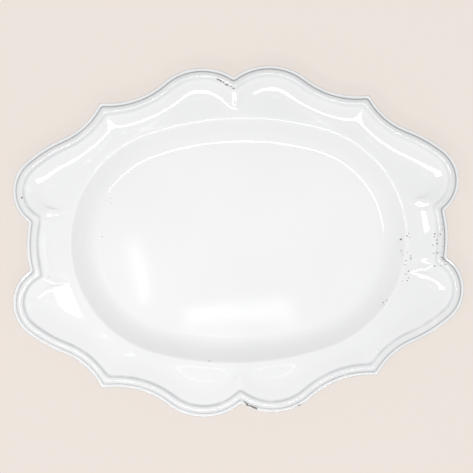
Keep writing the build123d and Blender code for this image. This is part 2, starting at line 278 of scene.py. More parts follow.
    def rim_ring(self, inset: float) -> np.ndarray:
        """Ring parallel to the outline.

        Args:
            inset: Distance in from the outline.

        Returns:
            Points round the platter, one row each, in mm.
        """
        ring = []
        for index in range(4):
            corners = self._rim_corners(index, inset)
            pieces = []
            for arc, start, end, count in zip(self._spans(index), corners, corners[1:], self.counts):
                first, sweep = self._sweep(arc, start, end)
                angles = first + sweep * np.arange(count) / count
                radius = arc.at(inset)
                pieces.append(np.stack([np.cos(angles), np.sin(angles)], 1) * radius + arc.centre)
            pieces.append(np.array([corners[-1]]))
            ring.append(self._join(index, pieces))
        return np.concatenate(ring)

    def well_ring(self, inset: float) -> np.ndarray:
        """Ring parallel to the well's shoulder.

        Args:
            inset: Distance in from the shoulder.

        Returns:
            Points round the platter, one row each, in mm.
        """
        half_length = self.length / 2 - self.well_from_end
        half_width = self.width / 2 - self.well_from_side
        corner = math.radians(self.well_corner)
        end_x = (half_length - half_width) / (1 + math.tan(corner) - 1 / math.cos(corner))
        end = Arc((end_x, 0.0), half_length - end_x)
        side = Arc((0.0, -end_x * math.tan(corner)), half_width + end_x * math.tan(corner))
        bearings = self.end_bearings + (self.well_corner,) + self.side_bearings
        arcs = [end] * len(self.end_bearings) + [side] * len(self.side_bearings)
        ring = []
        for index in range(4):
            pieces = []
            for arc, first, last, count in zip(arcs, bearings, bearings[1:], self.counts):
                angles = np.radians(first + (last - first) * np.arange(count) / count)
                pieces.append(np.stack([np.cos(angles), np.sin(angles)], 1) * arc.at(inset) + arc.centre)
            pieces.append(np.array([along(side.centre, (0, 1), side.at(inset))]))
            ring.append(self._join(index, pieces))
        return np.concatenate(ring) + (self.well_shift, 0.0)


# ---------------------------------------------------------------- the section, in mm
@dataclass
class Section:
    """Heights and widths of the glazed platter's section.

    Args:
        rest: Height of the resting face.
        foot_top: Height where the foot ring meets the clay slab.
        clay_floor: Height of the clay under the well's floor.
        crest: Height of the bead's crest, glazed.
        glaze: Thickness of the glaze.
    """

    rest: float
    foot_top: float
    clay_floor: float
    crest: float
    glaze: float = 0.4
    well_depth: float = 16.3
    flange_rise: float = 2.4
    cove_end_slope: float = 0.35
    lip_under: float = 5.44
    lip_seam: float = 4.75
    lip_edge: float = 4.05
    lip_top: float = 3.0
    groove_depth: float = 3.5
    crease_depth: float = 2.25
    groove_inset: float = 3.3
    crease_inset: float = 9.8
    cove_end: float = 19.2
    shoulder_radius: float = 3.6
    flange_slope: float = 5.0
    wall_slope: float = 52.0
    wall_run: float = 20.0
    floor_rings: float = 68.0
    floor_dish: float = 0.45
    back_floor: float = 62.0
    back_ease: float = 1.1
    rim_back: float = 28.93
    flange_back: float = 24.8
    flange_back_end: float = 22.6
    back_fillet_radius: float = 4.6
    back_fillet_start: float = -4.28
    wall_back_run: float = 17.6
    foot_outer: float = 17.77
    foot_width: float = 7.5
    foot_taper: float = 0.9
    foot_round: float = 1.0
    bare_foot: float = 1.2
    softening: float = 0.32

    @property
    def floor(self) -> float:
        """Height of the glazed floor of the well."""
        return self.clay_floor + self.glaze

    @property
    def shoulder(self) -> float:
        """Height of the glazed shoulder of the well."""
        return self.floor + self.well_depth

    @property
    def cove_foot(self) -> float:
        """Height of the flange where the cove starts."""
        return self.shoulder + self.flange_rise

    def eased(self, start: tuple[float, float], end: tuple[float, float], ease: float) -> Line:
        """Curve that leaves its start steeply and arrives level at its end.

        Args:
            start: Inset and height of the start.
            end: Inset and height of the end.
            ease: How quickly the curve flattens out.

        Returns:
            Insets and heights along the curve.
        """
        shares = np.linspace(0, 1, 60)
        insets = start[0] + (end[0] - start[0]) * shares
        heights = end[1] + (start[1] - end[1]) * (1 - shares) ** ease
        return list(zip(insets, heights))

    def bend(self, inset: float, height: float, radius: float) -> Line:
        """Round bend from the flange's slope to the wall's."""
        slopes = np.radians(np.linspace(self.flange_slope, self.wall_slope, 24))
        runs = radius * (np.sin(slopes) - np.sin(slopes[0]))
        drops = radius * (np.cos(slopes[0]) - np.cos(slopes))
        return list(zip(inset + runs, height - drops))

    def wall_ease(self, run: float, drop: float) -> float:
        """Power that makes an eased curve leave at the wall's slope."""
        return math.tan(math.radians(self.wall_slope)) * run / drop

    def front_rim(self) -> Line:
        """Lip, groove, bead and cove, from the lip's lower edge in to the flange."""
        lip = self.crest - self.lip_top
        groove = self.crest - self.groove_depth
        crease = self.crest - self.crease_depth
        arris = np.radians(np.linspace(0, 90, 12))
        round_off = self.lip_edge - self.lip_top
        line = [(0.0, self.crest - self.lip_seam)]
        line += [(round_off * (1 - math.cos(a)), lip - round_off * (1 - math.sin(a))) for a in arris]
        line += [(self.groove_inset, groove)]
        half = (self.crease_inset - self.groove_inset) / 2
        rise = self.crest - groove
        last = math.asin((crease - groove) / rise)
        half_wide = half / ((1 + math.cos(last)) / 2)
        middle = self.groove_inset + half_wide
        for angle in np.linspace(math.pi, last, 48):
            line.append((middle + half_wide * math.cos(angle), groove + rise * math.sin(angle)))
        width = self.cove_end - self.crease_inset
        fall = crease - self.cove_foot
        for share in np.linspace(0, 1, 40):
            steep = fall * share * (2 - share)
            level = self.cove_end_slope * width * share * (1 - share)
            line.append((self.crease_inset + width * share, crease - steep + level))
        return line

    def front_well(self) -> Line:
        """Shoulder, wall and floor, from the flange in to the flat of the floor."""
        slopes = (math.sin(math.radians(self.wall_slope)), math.sin(math.radians(self.flange_slope)))
        start = -self.shoulder_radius * (slopes[0] - slopes[1]) / 2
        line = self.bend(start, self.shoulder, self.shoulder_radius)
        top = line[-1]
        edge = self.floor + self.floor_dish
        ease = self.wall_ease(self.wall_run, top[1] - edge)
        line += self.eased(top, (top[0] + self.wall_run, edge), ease)
        return self.dished(line, top[0])

    def dished(self, line: Line, start: float) -> Line:
        """Blend the foot of the wall into a floor that sinks a little towards its middle.

        Args:
            line: Insets and heights down to the floor's edge.
            start: Inset at which the sinking begins.

        Returns:
            Insets and heights down to the flat middle of the floor.
        """
        reach = self.floor_rings - start
        sunk = []
        for inset, height in line:
            share = max(0.0, (inset - start) / reach)
            sunk.append((inset, height - self.floor_dish * share * (2 - share)))
        for inset in np.arange(line[-1][0] + 2.0, self.floor_rings, 2.0):
            share = (inset - start) / reach
            sunk.append((inset, line[-1][1] - self.floor_dish * share * (2 - share)))
        return sunk + [(self.floor_rings, line[-1][1] - self.floor_dish)]

    def back_rim(self) -> Line:
        """Underside of the rim, from the lip's lower edge in to the flange."""
        line = [(0.0, self.crest - self.lip_seam), (0.0, self.crest - self.lip_under)]
        line += [(self.groove_inset, self.rim_back)]
        return line + self.eased(line[-1], (self.cove_end, self.flange_back), self.back_ease)

    def back_well(self) -> Line:
        """Underside of the wall, in to the foot ring and down its outer side."""
        line = self.bend(self.back_fillet_start, self.flange_back_end, self.back_fillet_radius)
        top = line[-1]
        flat = self.foot_top - self.glaze
        ease = self.wall_ease(self.wall_back_run, top[1] - flat)
        line += self.eased(top, (top[0] + self.wall_back_run, flat), ease)
        side = self.foot_outer - self.glaze
        line += [(side, flat), (side + self.taper(self.bare_foot), self.rest + self.bare_foot)]
        return line

    def taper(self, height: float) -> float:
        """How far the foot ring's side has drawn in at a height above the table."""
        return self.foot_taper * (1 - height / (self.foot_top - self.rest))

    def foot_well(self) -> Line:
        """Inner side of the foot ring and the glazed underside of the floor."""
        side = self.foot_outer + self.foot_width + self.glaze
        flat = self.foot_top - self.glaze
        line = [(side - self.taper(self.bare_foot), self.rest + self.bare_foot), (side, flat)]
        return line + [(self.back_floor, flat)]

    def foot(self) -> Line:
        """Closed section of the bare foot ring, from the top of its outer side round."""
        outer = self.foot_outer
        inner = outer + self.foot_width
        draw = self.taper(self.foot_round)
        turn = np.radians(np.linspace(0, 90, 10))
        line = [(outer, self.foot_top)]
        for angle in turn:
            step = self.foot_round * (1 - math.cos(angle))
            line.append((outer + draw + step, self.rest + self.foot_round * (1 - math.sin(angle))))
        for angle in turn[::-1]:
            step = self.foot_round * (1 - math.cos(angle))
            line.append((inner - draw - step, self.rest + self.foot_round * (1 - math.sin(angle))))
        return line + [(inner, self.foot_top)]


def evened(line: Line, softening: float, spacing: float, turn: float) -> np.ndarray:
    """Soften a section line as glaze does, and pick stations where it bends.

    Args:
        line: Insets and heights.
        softening: Width over which arrises are rounded.
        spacing: Longest step between stations.
        turn: Largest change of direction between stations, in degrees.

    Returns:
        Insets and heights of the stations, one row each.
    """
    points = np.array(line)
    keep = np.r_[True, np.hypot(*np.diff(points, axis=0).T) > 1e-6]
    points = points[keep]
    run = np.r_[0, np.cumsum(np.hypot(*np.diff(points, axis=0).T))]
    fine = np.arange(0, run[-1], FINE_STEP)
    dense = np.stack([np.interp(fine, run, points[:, k]) for k in (0, 1)], 1)
    dense = np.vstack([dense, points[-1]])
    if softening > 0:
        reach = int(4 * softening / FINE_STEP)
        kernel = np.exp(-0.5 * (np.arange(-reach, reach + 1) * FINE_STEP / softening) ** 2)
        kernel /= kernel.sum()
        head = 2 * dense[0] - dense[1:reach + 1][::-1]
        tail = 2 * dense[-1] - dense[-reach - 1:-1][::-1]
        padded = np.vstack([head, dense, tail])
        dense = np.stack([np.convolve(padded[:, k], kernel, "valid") for k in (0, 1)], 1)
    steps = np.diff(dense, axis=0)
    lengths = np.hypot(*steps.T)
    headings = np.unwrap(np.arctan2(steps[:, 1], steps[:, 0]))
    turning = np.r_[0, np.abs(np.diff(headings))]
    effort = np.r_[0, np.cumsum(lengths / spacing + turning / math.radians(turn))]
    picks = np.linspace(0, effort[-1], max(3, int(effort[-1]) + 1))
    return np.stack([np.interp(picks, effort, dense[:, k]) for k in (0, 1)], 1)


# ---------------------------------------------------------------- surfaces as grids of rings
@dataclass
class Rings:
    """A surface as rings of points, with the section place of each ring.

    Args:
        points: Rings by points round by three coordinates, in mm.
        rim_inset: Distance of each ring in from the outline, in mm, up to the flange. Across the
            flange it grows by FLANGE_SPAN, and in the well it counts on from WELL_MARK.
    """

    points: np.ndarray
    rim_inset: np.ndarray

    def normals(self) -> np.ndarray:
        """Unit normals of the surface at every point."""
        across = np.gradient(self.points, axis=0)
        round_ = np.roll(self.points, -1, axis=1) - np.roll(self.points, 1, axis=1)
        normal = np.cross(round_, across)
        return normal / np.maximum(np.linalg.norm(normal, axis=2, keepdims=True), 1e-9)

    def thinned(self, every: int) -> "Rings":
        """The same surface with fewer rings, keeping the first and last."""
        keep = sorted(set(range(0, len(self.points), every)) | {len(self.points) - 1})
        return Rings(self.points[keep], self.rim_inset[keep])

    def moved(self, distance: float) -> "Rings":
        """The surface moved along its normals."""
        return Rings(self.points + self.normals() * distance, self.rim_inset)


@dataclass
class Potter:
    """Turns section lines into surfaces with the small unevenness of handwork.

    Args:
        outline: The outline and the well.
        section: The section.
        flange_rings: Steps across the flange.
        edge_rounding: How often a ring's corners are rounded at the outline.
        flange_rounding: How often at the cove's end and across the flange.
        slow_wave: Height of the slow warp, over slow_length.
        dents: Depth of the dents, over dent_length.
        ripple: Height of the fine ripple, over ripple_length.
        edge_wave: How far the edge wanders in plan, over edge_length.
        still_above_floor: Height, from the well's floor, below which nothing is warped.
        loosening: Height over which the warp then grows to its full size.
        tail_depth: Depth of a crease's tail beyond its notch.
        tail_width: Half the tail's width.
        tail_sweep: Angle that the tail runs through, in degrees.
    """

    outline: Outline
    section: Section
    flange_rings: int = 15
    edge_rounding: int = 2
    flange_rounding: int = 26
    slow_wave: float = 0.22
    slow_length: float = 85.0
    dents: float = 0.13
    dent_length: float = 36.0
    ripple: float = 0.02
    ripple_length: float = 17.0
    edge_wave: float = 0.22
    edge_length: float = 30.0
    still_above_floor: float = -3.0
    loosening: float = 12.0
    tail_depth: float = 0.75
    tail_width: float = 1.5
    tail_sweep: float = 58.0

    def surface(self, rim: Line, well: Line, slope: float) -> Rings:
        """Build a surface from the lip in over the flange to the well.

        Args:
            rim: Section line parallel to the outline.
            well: Section line parallel to the well.
            slope: Slope at which the flange leaves the cove, or 0 for a flat flange.

        Returns:
            The surface's rings.
        """
        soft = self.section.softening
        rim_stations = evened(rim, soft, 1.1, 13.0)
        well_stations = evened(well, soft, 3.4, 7.0)
        rings, insets = [], []
        for inset, height in rim_stations:
            rounds = self._rounds(inset)
            rings.append(self._lift(self._rounded(self.outline.rim_ring(inset), rounds), height))
            insets.append(inset)
        inner = self._lift(self.outline.well_ring(well_stations[0][0]), well_stations[0][1])
        outer = rings[-1]
        runs = np.hypot(*(inner - outer)[:, :2].T)
        dish = np.maximum(slope * runs - (outer - inner)[:, 2], 0.0)
        for step in range(1, self.flange_rings):
            share = step / self.flange_rings
            ring = outer + (inner - outer) * share
            ring[:, 2] -= dish * share * (1 - share) ** 2
            rings.append(self._rounded(ring, round(self.flange_rounding * share)))
            insets.append(insets[len(rim_stations) - 1] + FLANGE_SPAN * share)
        for inset, height in well_stations:
            rings.append(self._lift(self.outline.well_ring(inset), height))
            insets.append(WELL_MARK + inset)
        points = np.array(rings)
        if slope:
            points[:, :, 2] -= self._tails(points)
        return Rings(self._by_hand(points), np.array(insets))

    def _tails(self, points: np.ndarray) -> np.ndarray:
        """Depth of the tails by which each end lobe's crease runs on past its notch.

        Args:
            points: Points in mm, in any shape that ends in three.

        Returns:
            How far each point sinks, in mm.
        """
        sink = np.zeros(points.shape[:-1])
        for index, quarter in enumerate(self.outline.quarters):
            centre, radius, notch = self.outline.lobe_crease(index, self.section.crease_inset)
            x = points[..., 0] * quarter.right - centre[0]
            y = points[..., 1] * quarter.back - centre[1]
            beyond = notch - np.degrees(np.arctan2(y, x))
            fade = np.clip(beyond / 8.0, 0, 1) * np.clip(1 - beyond / self.tail_sweep, 0, 1)
            across = (np.hypot(x, y) - radius + self.tail_width) / self.tail_width
            sink = np.maximum(sink, self.tail_depth * np.sqrt(fade) * np.exp(-0.5 * across**2))
        return sink

    def well_surface(self, line: Line, softening: float, spacing: float) -> Rings:
        """Surface whose every ring is parallel to the well."""
        stations = evened(line, softening, spacing, 12.0)
        rings = [self._lift(self.outline.well_ring(inset), height) for inset, height in stations]
        return Rings(self._by_hand(np.array(rings)), WELL_MARK + stations[:, 0])

    def _rounds(self, inset: float) -> int:
        """How many times a ring's corners are rounded, more as the glaze pools inward."""
        share = min(1.0, max(0.0, inset / self.section.cove_end))
        return round(self.edge_rounding + (self.flange_rounding - self.edge_rounding) * share**1.5)

    @staticmethod
    def _rounded(ring: np.ndarray, rounds: int) -> np.ndarray:
        """Ring with its corners eased by averaging neighbours."""
        for _ in range(rounds):
            ring = ring / 2 + (np.roll(ring, 1, axis=0) + np.roll(ring, -1, axis=0)) / 4
        return ring

    @staticmethod
    def _lift(ring: np.ndarray, height: float) -> np.ndarray:
        """Flat ring put at a height."""
        return np.column_stack([ring[:, 0], ring[:, 1], np.full(len(ring), height)])

    @staticmethod
    def _wander(x: float, y: float, layer: float, length: float) -> float:
        """Smooth wandering between -1 and 1 over a length, from its own layer of noise."""
        return noise.noise(Vector((x, y, layer)) / length)

    def _by_hand(self, points: np.ndarray) -> np.ndarray:
        """Add the slow warp and the fine ripple of hand-pressed, hand-dipped ware.

        Args:
            points: Points in mm, in any shape that ends in three.

        Returns:
            The same points, moved by fractions of a millimetre.
        """
        flat = points.reshape(-1, 3)
        moved = flat.copy()
        low = self.section.floor + self.still_above_floor
        foot = self.section.foot_top + 0.5
        for index, (x, y, z) in enumerate(flat):
            free = min(1.0, max(0.0, (z - low) / self.loosening)) if z > foot else 0.0
            slow = self.slow_wave * self._wander(x, y, 40.0, self.slow_length)
            dents = self.dents * self._wander(x, y, 60.0, self.dent_length)
            ripple = self.ripple * self._wander(x, y, 90.0, self.ripple_length)
            moved[index, 2] += free * (slow + dents) + ripple * free
            moved[index, 0] += free * self.edge_wave * self._wander(x, y, 140.0, self.edge_length)
            moved[index, 1] += free * self.edge_wave * self._wander(x, y, 190.0, self.edge_length)
        return moved.reshape(points.shape)


# ---------------------------------------------------------------- wear and flaws of the glaze, in mm
@dataclass(frozen=True)
class Flaw:
    """A spot where the glaze has crawled or chipped off the clay.

    Args:
        place: Where it is, seen from above.
        long: Half its length.
        wide: Half its width.
        heading: Direction of its length, in degrees.
        depth: How deep it goes.
    """

    place: tuple[float, float]
    long: float
    wide: float
    heading: float = 0.0
    depth: float = 0.28

    def closeness(self, xy: np.ndarray) -> np.ndarray:
        """How near points are, 1 at the middle, 0 at the rim and negative outside."""
        away = xy - self.place
        turn = math.radians(self.heading)
        u = away[:, 0] * math.cos(turn) + away[:, 1] * math.sin(turn)
        v = away[:, 1] * math.cos(turn) - away[:, 0] * math.sin(turn)
        return 1 - np.hypot(u / self.long, v / self.wide)


@dataclass(frozen=True)
class Pinholes:
    """A patch of pinholes where gas broke through the glaze.

    Args:
        place: The patch's middle.
        spread: Its half sizes.
        count: How many pinholes.
        size: Usual radius of one.
        seed: Fixes where each one falls.
    """

    place: tuple[float, float]
    spread: tuple[float, float]
    count: int
    size: float
    seed: int

    def flaws(self) -> list[Flaw]:
        """The patch's pinholes, one by one."""
        dice = random.Random(self.seed)
        made = []
        for _ in range(self.count):
            x = self.place[0] + self.spread[0] * dice.uniform(-1, 1)
            y = self.place[1] + self.spread[1] * dice.uniform(-1, 1)
            size = self.size * dice.uniform(0.55, 1.25)
            made.append(Flaw((x, y), size * dice.uniform(1.0, 1.5), size, dice.uniform(0, 180)))
        return made


@dataclass(frozen=True)
class Scuffs:
    """A run of small chips along a line, where the rim has been knocked.

    Args:
        start: One end of the run.
        end: The other end.
        count: How many chips.
        size: Usual half width of one.
        seed: Fixes where each one falls.
    """

    start: tuple[float, float]
    end: tuple[float, float]
    count: int
    size: float
    seed: int

    def flaws(self) -> list[Flaw]:
        """The run's chips, one by one."""
        dice = random.Random(self.seed)
        heading = math.degrees(math.atan2(self.end[1] - self.start[1], self.end[0] - self.start[0]))
        made = []
        for index in range(self.count):
            share = (index + dice.uniform(0.1, 0.9)) / self.count
            x = self.start[0] + (self.end[0] - self.start[0]) * share + dice.uniform(-0.6, 0.6)
            y = self.start[1] + (self.end[1] - self.start[1]) * share + dice.uniform(-0.6, 0.6)
            wide = self.size * dice.uniform(0.6, 1.2)
            made.append(Flaw((x, y), wide * dice.uniform(1.2, 3.0), wide, heading + dice.uniform(-15, 15)))
        return made


FLAWED: tuple[Pinholes | Scuffs, ...] = (
    Pinholes((150.5, -19.0), (4.5, 22.0), 24, 0.5, 3),
    Pinholes((179.5, -9.0), (5.5, 19.0), 26, 0.5, 5),
    Pinholes((-121.5, 10.0), (1.6, 6.5), 6, 0.55, 8),
    Pinholes((-110.5, 41.0), (2.5, 4.0), 2, 0.7, 13),
    Pinholes((-189.0, 44.7), (0.4, 0.4), 1, 0.75, 21),
    Pinholes((129.0, -60.0), (5.0, 4.5), 7, 0.4, 34),
    Scuffs((-12.5, 144.6), (3.5, 135.0), 7, 0.55, 55),
    Scuffs((2.5, -144.0), (13.0, -150.0), 9, 0.75, 89),
    Scuffs((50.0, -148.5), (72.0, -140.0), 8, 0.6, 144),
    Scuffs((-30.0, -106.5), (-25.5, -105.8), 2, 0.35, 233),
)


# ---------------------------------------------------------------- meshes
class Shell:
    """Collects rings of points and the faces between them into one mesh."""

    def __init__(self, name: str) -> None:
        """Start an empty shell with a piece's name."""
        self.name = name
        self.points: list[np.ndarray] = []
        self.faces: list[np.ndarray] = []
        self.inset: list[np.ndarray] = []
        self.count = 0

    def surface(self, rings: Rings, looks_up: bool) -> list[int]:
        """Add a surface.

        Args:
            rings: The surface.
            looks_up: True if its outside is on the side that its ring order faces.

        Returns:
            The first point's number in the first and in the last ring.
        """
        number, size = rings.points.shape[:2]
        start = self._points(rings.points.reshape(-1, 3), np.repeat(rings.rim_inset, size))
        first = start + (np.arange(number - 1)[:, None] * size)
        for row in first[:, 0]:
            self.strip(int(row), int(row) + size, size, looks_up)
        return [start, start + (number - 1) * size]

    def strip(self, first: int, second: int, size: int, looks_up: bool) -> None:
        """Join two rings with a strip of faces."""
        here = np.arange(size)
        after = (here + 1) % size
        faces = np.stack([first + here, first + after, second + after, second + here], 1)
        self.faces.append(faces if looks_up else faces[:, ::-1])

    def close_middle(self, last: int, size: int, looks_up: bool, steps: int = 9) -> None:
        """Fill a flat middle with rings that shrink to a point.

        Args:
            last: First point of the ring round the middle.
            size: Points in that ring.
            looks_up: True if the outside is the side that the ring order faces.
            steps: How many rings to add.
        """
        ring = np.concatenate(self.points)[last:last + size]
        middle = ring.mean(axis=0)
        inset = np.full(size, np.concatenate(self.inset)[last])
        for step in range(1, steps + 1):
            share = 1 - step / (steps + 0.35)
            fresh = self._points(middle + (ring - middle) * share, inset)
            self.strip(last, fresh, size, looks_up)
            last = fresh
        centre = self._points(middle[None, :], inset[:1])
        here = np.arange(size)
        fan = np.stack([last + here, last + (here + 1) % size, np.full(size, centre)], 1)
        fan = np.column_stack([fan, np.full(size, -1)])
        self.faces.append(fan if looks_up else fan[:, [1, 0, 2, 3]])

    def _points(self, points: np.ndarray, inset: np.ndarray) -> int:
        """Add points and return the first one's number."""
        start = self.count
        self.points.append(points)
        self.inset.append(inset)
        self.count += len(points)
        return start

    def build(self) -> bpy.types.Object:
        """Make the Blender object, in metres, with smooth faces and the rings' insets."""
        mesh = bpy.data.meshes.new(self.name)
        faces = [[int(v) for v in face if v >= 0] for block in self.faces for face in block]
        mesh.from_pydata((np.concatenate(self.points) * MM).tolist(), [], faces)
        layer = mesh.attributes.new("rim_inset", "FLOAT", "POINT")
        layer.data.foreach_set("value", np.concatenate(self.inset).astype(np.float32))
        mesh.polygons.foreach_set("use_smooth", np.ones(len(mesh.polygons), dtype=bool))
        mesh.update()
        piece = bpy.data.objects.new(self.name, mesh)
        bpy.context.scene.collection.objects.link(piece)
        return piece


@dataclass
class Engraver:
    """Cuts flaws into a glaze mesh, dividing its faces more finely round each one.

    Args:
        flaws: The flaws.
        cuts: How many times an edge near a flaw is divided.
        margin: How far round a flaw the faces are divided, in its own sizes.
    """

    flaws: list[Flaw]
    cuts: int = 3
    margin: float = 1.2

    def cut(self, piece: bpy.types.Object, lowest: float) -> None:
        """Divide, sink and mark the glaze at every flaw.

        Args:
            piece: The glaze.
            lowest: Points below this height are left alone, in metres.
        """
        mesh = piece.data
        shape = bmesh.new()
        shape.from_mesh(mesh)
        near = self._closeness(np.array([v.co[:] for v in shape.verts]) / MM) > -self.margin
        shape.verts.ensure_lookup_table()
        high = np.array([v.co.z > lowest for v in shape.verts])
        chosen = near & high
        edges = [e for e in shape.edges if chosen[e.verts[0].index] or chosen[e.verts[1].index]]
        bmesh.ops.subdivide_edges(shape, edges=edges, cuts=self.cuts, use_grid_fill=True, smooth=0.0)
        shape.to_mesh(mesh)
        shape.free()
        points = np.empty(len(mesh.vertices) * 3, dtype=np.float32)
        mesh.vertices.foreach_get("co", points)
        points = points.reshape(-1, 3)
        close = np.where(points[:, 2] > lowest, self._closeness(points / MM, ragged=True), FAR_OFF)
        depth = np.array([flaw.depth for flaw in self.flaws]).mean() * MM
        sink = np.clip((close + 0.25) / 0.6, 0, 1)
        points[:, 2] -= depth * sink**2 * (3 - 2 * sink)
        mesh.vertices.foreach_set("co", points.ravel())
        layer = mesh.attributes.new("bare", "FLOAT", "POINT")
        layer.data.foreach_set("value", np.clip(close + 0.5, 0, 1).astype(np.float32))
        mesh.polygons.foreach_set("use_smooth", np.ones(len(mesh.polygons), dtype=bool))
        mesh.update()

    def _closeness(self, points: np.ndarray, ragged: bool = False) -> np.ndarray:
        """Closeness of points to their nearest flaw.

        Args:
            points: Points in mm.
            ragged: True to break up the flaws' outlines.

        Returns:
            Closeness, 1 at a flaw's middle and 0 at its rim.
        """
        best = np.full(len(points), FAR_OFF)
        for flaw in self.flaws:
            box = np.abs(points[:, :2] - flaw.place).max(axis=1) < flaw.long * 3 + 2
            best[box] = np.maximum(best[box], flaw.closeness(points[box, :2]))
        if ragged:
            for index in np.nonzero(best > -0.8)[0]:
                best[index] += 0.45 * noise.noise(Vector(points[index]) * 1.4)
        return best


# ---------------------------------------------------------------- shader helpers
Number = float | int
Colour = tuple[float, float, float]


class Value:
    """A shader value that can be written in sums."""

    def __init__(self, recipe: "Recipe", socket: bpy.types.NodeSocket) -> None:
        """Wrap a socket of a recipe's tree."""
        self.recipe = recipe
        self.socket = socket

    def _math(self, operation: str, first: "Value | Number", second: "Value | Number") -> "Value":
        """Add one Math node."""
        node = self.recipe.node("ShaderNodeMath", {"operation": operation}, {0: first, 1: second})
        return Value(self.recipe, node.outputs[0])

    def __add__(self, other: "Value | Number") -> "Value":
        """Sum."""
        return self._math("ADD", self, other)

    __radd__ = __add__

    def __sub__(self, other: "Value | Number") -> "Value":
        """Difference."""
        return self._math("SUBTRACT", self, other)

    def __rsub__(self, other: "Value | Number") -> "Value":
        """Difference from a number."""
        return self._math("SUBTRACT", other, self)

    def __mul__(self, other: "Value | Number") -> "Value":
        """Product."""
        return self._math("MULTIPLY", self, other)

    __rmul__ = __mul__

    def over(self, limit: Number) -> "Value":
        """1 where the value is above a limit, 0 elsewhere."""
        return self._math("GREATER_THAN", self, limit)

    def smooth(self, low: Number, high: Number) -> "Value":
        """Soft step from 0 at low to 1 at high."""
        node = self.recipe.node(
            "ShaderNodeMapRange",
            {"interpolation_type": "SMOOTHSTEP"},
            {"Value": self, "From Min": low, "From Max": high},
        )
        return Value(self.recipe, node.outputs["Result"])

    def peak(self, middle: Number, half: Number) -> "Value":
        """Soft bump of 1 at a middle value, falling to 0 a half width away."""
        away = self._math("ABSOLUTE", self - middle, 0)
        return 1 - away.smooth(0.0, half)


class Recipe:
    """One node material under construction."""

    def __init__(self, name: str) -> None:
        """Start a material with an empty tree."""
        self.material = bpy.data.materials.new(name)
        self.material.use_nodes = True
        self.tree = self.material.node_tree
        self.tree.nodes.clear()

    def node(
        self, kind: str, settings: dict[str, object], sockets: dict[str | int, object]
    ) -> bpy.types.Node:
        """Add a node.

        Args:
            kind: The node's type.
            settings: Its properties, set first.
            sockets: Values, or links given as Value or socket, by input name or number.

        Returns:
            The node.
        """
        node = self.tree.nodes.new(kind)
        for key, setting in settings.items():
            setattr(node, key, setting)
        for key, given in sockets.items():
            target = node.inputs[key]
            if isinstance(given, Value):
                self.tree.links.new(given.socket, target)
            elif isinstance(given, bpy.types.NodeSocket):
                self.tree.links.new(given, target)
            elif isinstance(given, tuple) and len(given) == 3 and target.type == "RGBA":
                target.default_value = (*given, 1.0)
            else:
                target.default_value = given
        return node

    def place(self) -> bpy.types.NodeSocket:
        """Position on the object, in metres."""
        return self.node("ShaderNodeTexCoord", {}, {}).outputs["Object"]

    def marked(self, name: str) -> Value:
        """A number marked on the mesh."""
        node = self.node("ShaderNodeAttribute", {"attribute_name": name}, {})
        return Value(self, node.outputs["Fac"])

    def noise(self, scale: Number, detail: Number = 3.0, roughness: Number = 0.5) -> Value:
        """Cloudy noise with a number of clouds to the metre."""
        sockets = {"Vector": self.place(), "Scale": scale, "Detail": detail, "Roughness": roughness}
        return Value(self, self.node("ShaderNodeTexNoise", {}, sockets).outputs[0])

    def blend(self, factor: Value, first: object, second: object) -> bpy.types.NodeSocket:
        """Mix two colours by a factor."""
        node = self.node("ShaderNodeMix", {"data_type": "RGBA"}, {0: factor, 6: first, 7: second})
        return node.outputs[2]

    def bump(self, height: Value, strength: Number, distance: Number) -> bpy.types.NodeSocket:
        """Surface relief from a height."""
        sockets = {"Height": height, "Strength": strength, "Distance": distance}
        return self.node("ShaderNodeBump", {}, sockets).outputs["Normal"]

    def finish(self, shader: bpy.types.Node) -> bpy.types.Material:
        """Connect the shader to the material's output."""
        self.node("ShaderNodeOutputMaterial", {}, {"Surface": shader.outputs[0]})
        return self.material


# ---------------------------------------------------------------- finishes
@dataclass(frozen=True)
class PaintedShadeBand:
    """Band of painted shade in the glaze that runs round parallel to the outline.

    Args:
        middle: Its middle, in mm in from the outline.
        half: Half its width.
        broken: Thickness at which the band starts to show, and at which it is whole.
        level: Strength at the platter's middle.
        slant: How much the strength grows toward the back right.
    """

    middle: float
    half: float
    broken: tuple[float, float]
    level: float
    slant: float

    def amount(self, inset: Value, patchy: Value, lean: Value) -> Value:
        """Strength of the painted shade at a place."""
        strength = self.level + self.slant * lean
        return inset.peak(self.middle, self.half) * patchy.smooth(*self.broken) * strength


